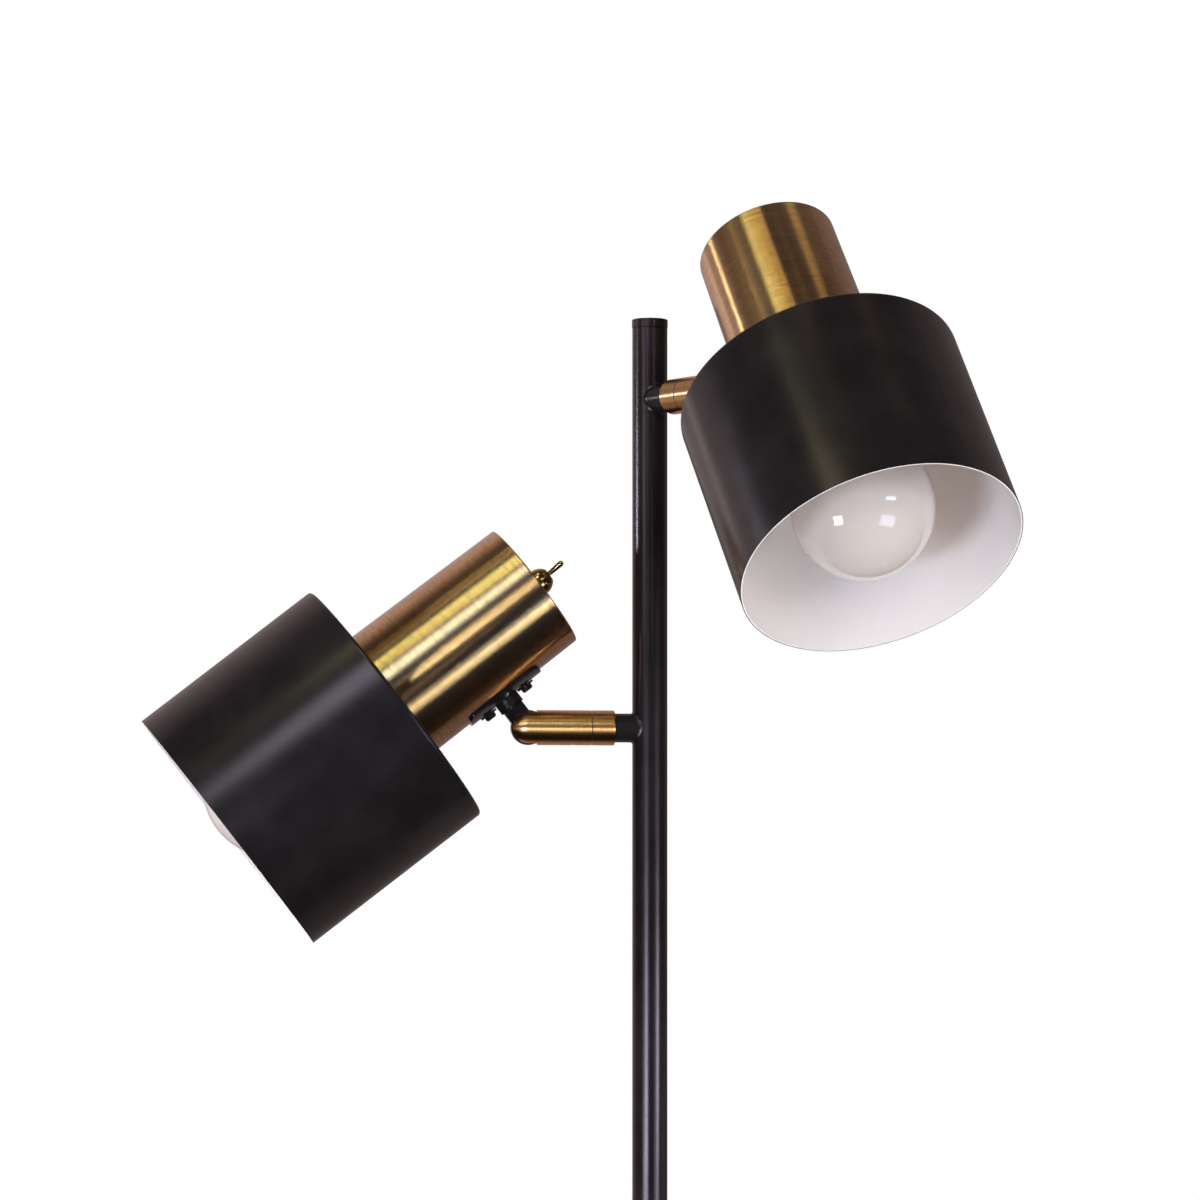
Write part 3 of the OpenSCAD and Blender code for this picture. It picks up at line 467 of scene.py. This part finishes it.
def area_light(name, location, towards, width, height, radiance, colour=WHITE):
    """A rectangular light of width by height metres, not seen by the camera. It shines the
    opposite way to towards."""
    data = bpy.data.lights.new(name, "AREA")
    data.shape = "RECTANGLE"
    data.size = width
    data.size_y = height
    data.energy = radiance * math.pi * data.size * data.size_y
    data.color = colour
    light = bpy.data.objects.new(name, data)
    light.location = location
    light.rotation_euler = towards.to_track_quat("Z", "Y").to_euler()
    light.visible_camera = False
    scene.collection.objects.link(light)
    return light


def soft_light(name, azimuth, elevation, width, height, radiance, colour):
    """A soft light on the heads from this azimuth and elevation, that many degrees wide and high
    as they see it."""
    towards = direction(azimuth, elevation)
    location = UP * HEADS_HEIGHT + towards * LIGHT_DISTANCE
    size = [2 * LIGHT_DISTANCE * math.tan(math.radians(angle / 2)) for angle in (width, height)]
    return area_light(name, location, towards, *size, radiance, colour)


def light_set(name, link_state, members):
    """The set of objects that a light shines on alone (INCLUDE) or leaves out (EXCLUDE)."""
    made = bpy.data.collections.new(name)
    for member in members:
        made.objects.link(member)
    for link in made.collection_objects:
        link.light_linking.link_state = link_state
    return made


floor_mesh = bpy.data.meshes.new("floor")
bm = bmesh.new()
bmesh.ops.create_circle(bm, cap_ends=True, radius=FLOOR_R, segments=96)
bm.to_mesh(floor_mesh)
bm.free()
floor = bpy.data.objects.new("floor", floor_mesh)
scene.collection.objects.link(floor)
m = material("pale_floor")
floor_mesh.materials.append(
    finish_of(m, m.mix(m.noise(3, detail=4), (0.80, 0.79, 0.78), (0.84, 0.83, 0.82)), 0.8))
# The metal doesn't mirror the floor, and the floor throws no light back at the lamp.
floor.visible_glossy = False
floor.visible_diffuse = False

# A wide wash from overhead whitens the floor alone and leaves the lamp's soft shadow on it.
wash = area_light(
    "floor_wash", UP * WASH_HEIGHT, direction(0, 90), WASH_SIDE, WASH_SIDE, WASH_RADIANCE)
wash.visible_glossy = False
wash.light_linking.receiver_collection = light_set("floor_only", "INCLUDE", [floor])

# Most lights are kept off the bulbs, as with a black flag in front of each.
bulbs = [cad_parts[side + "_bulb_glass"] for side in SIDES]
flag = light_set("flag", "EXCLUDE", bulbs)

# Each row: name, azimuth, elevation, width and height in degrees, radiance, colour.
OPEN_LIGHTS = (
    ("key_left", -35.7, -20.6, 14, 13, 10.0, (0.97, 1.04, 1.2)),
    ("key_right", 39.1, -18.8, 20.5, 14.5, 3.0, (0.72, 0.90, 1.16)),
    ("small_right", 41, 9.4, 14.5, 4.5, 5.6, (0.95, 1.05, 1.5)),
)
FLAGGED_LIGHTS = (
    ("low_front", -21.5, -13.2, 16.6, 5.5, 30.0, (0.82, 1.0, 1.3)),
    ("side_right", 52.4, -12.0, 17.2, 3.0, 39.0, COOL),
    ("top_left", -28.7, 43.0, 22, 8.7, 3.8, GOLD),
    ("front_left", -18.2, 22.8, 17, 12.6, 4.4, (0.92, 1.12, 1.28)),
    ("front_right", 21, 23, 8.5, 3.3, 8.6, (0.8, 1.05, 1.35)),
    ("low_left", -38.2, 9.0, 10, 3.8, 6.8, WHITE),
    ("mid_left", -47.7, 16.5, 4.4, 6.0, 7.4, (1.1, 1.0, 0.8)),
    ("far_left", -93, 6.6, 8, 4, 43.0, COOL),
    ("band_right", 93, -15, 37, 3.3, 0.9, WHITE),
    ("overhead", -46, 69, 22, 4.2, 2.8, (1.08, 0.93, 0.42)),
    ("high_left", -51, 56, 3.5, 6.0, 1.7, (0.95, 1.05, 0.95)),
    ("high_right", 80, 66.5, 16, 5.0, 0.8, (1.1, 0.88, 0.4)),
    ("rim_back", -133, 2, 5, 28, 1.1, ROSE),
)
# The fills only brighten: no surface mirrors them.
FILL_LIGHTS = (
    ("fill_low_left", -60, -30, 40, 30, 0.7, ROSE),
    ("fill_front", 20, 10, 40, 30, 2.6, ROSE),
    ("fill_right", 75, 0, 40, 40, 0.1, ROSE),
    ("fill_low_right", 50, -50, 50, 40, 2.65, ROSE),
    ("fill_left", -90, 0, 40, 40, 5.6, WHITE),
    ("fill_top", 0, 60, 60, 40, 1.6, WHITE),
)
for row in OPEN_LIGHTS:
    soft_light(*row)
for row in FLAGGED_LIGHTS:
    light = soft_light(*row)
    light.light_linking.receiver_collection = flag
for row in FILL_LIGHTS:
    light = soft_light(*row)
    light.visible_glossy = False

# A dim, warm room that grows paler upwards, with a pale wall behind the lamp that is brighter to
# the left. The camera itself sees plain white.
world = bpy.data.worlds.new("studio")
scene.world = world
world.use_nodes = True
w = Nodes(world.node_tree)
w.nodes.clear()
sky = w.vec("NORMALIZE", w.add("TexCoord").outputs["Generated"])
split = w.add("SeparateXYZ")
w.put(split.inputs[0], sky)
behind = w.span(split.outputs["Y"], 0.0, 0.6, 0.0, 1.0)
wall = w.span(split.outputs["X"], -0.3, 0.3, 0.4, 0.15)
room = w.span(split.outputs["Z"], -0.25, 0.35, 0.009, 0.055)
level = w.math("ADD", room, w.math("MULTIPLY", behind, wall))
shown = w.add("LightPath").outputs["Is Camera Ray"]
glow = w.add("Background")
w.put(glow.inputs["Color"], (1.0, 0.79, 0.78, 1))
w.put(glow.inputs["Strength"], level)
plain = w.add("Background")
w.put(plain.inputs["Color"], (1.0, 1.0, 1.0, 1))
choose = w.add("MixShader")
w.put(choose.inputs[0], shown)
w.put(choose.inputs[1], glow.outputs[0])
w.put(choose.inputs[2], plain.outputs[0])
surface = w.add("OutputWorld")
w.put(surface.inputs["Surface"], choose.outputs[0])

# The camera that the photograph's edges gave, solved together with the lamp's sizes. It looks up
# by 0.417 degrees.
camera_data = bpy.data.cameras.new("camera")
camera_data.lens = 152.07
camera_data.sensor_width = 36.0
camera_data.shift_x = -0.0595
camera_data.shift_y = 0.2898
camera_data.clip_end = 50.0
camera = bpy.data.objects.new("camera", camera_data)
camera.location = (0.01167, -2.7405, 1.1903)
camera.rotation_euler = (math.radians(90.417), 0.0, 0.0)
scene.collection.objects.link(camera)
scene.camera = camera
scene.view_settings.view_transform = "Standard"
